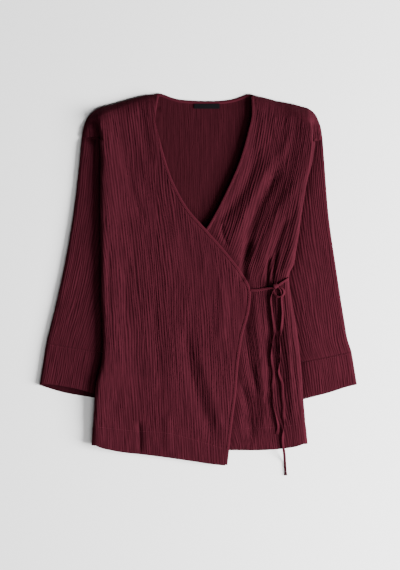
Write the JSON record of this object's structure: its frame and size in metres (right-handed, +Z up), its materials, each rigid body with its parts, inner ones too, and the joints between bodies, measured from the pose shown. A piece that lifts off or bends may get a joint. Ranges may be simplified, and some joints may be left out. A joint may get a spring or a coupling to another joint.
{
  "type": "kimono wrap top",
  "caption": "Crinkled cotton wrap top on kimono lines, laid flat: V neck with bound edges, crossed fronts tied at the side, dropped shoulders and wide sleeves with deep cuffs.",
  "frame": {"origin": "on the surface it lies on, under the middle of the garment without its ties", "axes": "+Y from the hem to the neck, +Z up off the surface, +X to the wearer's left (the viewer's right)"},
  "size_m": [0.5852, 0.702, 0.0296],
  "materials": {
    "cotton": "matt crinkled cotton, burgundy",
    "bias_strip": "matt bias cut cotton strip",
    "tie": "matt stitched cotton strip",
    "label": "smooth woven strip, near black, bare"
  },
  "bodies": {
    "root": {"back": "cotton", "front_right": "cotton", "front_left": "cotton", "sleeve_right": "cotton", "sleeve_left": "cotton", "cuff_right": "cotton", "cuff_left": "cotton", "binding_front_right": "bias_strip", "binding_front_left": "bias_strip", "binding_back_neck": "bias_strip", "tie_front": "tie", "tie_side": "tie", "tie_loop": "tie", "tie_end_short": "tie", "tie_end_long": "tie", "knot": "tie", "label": "label"}
  },
  "joints": []
}
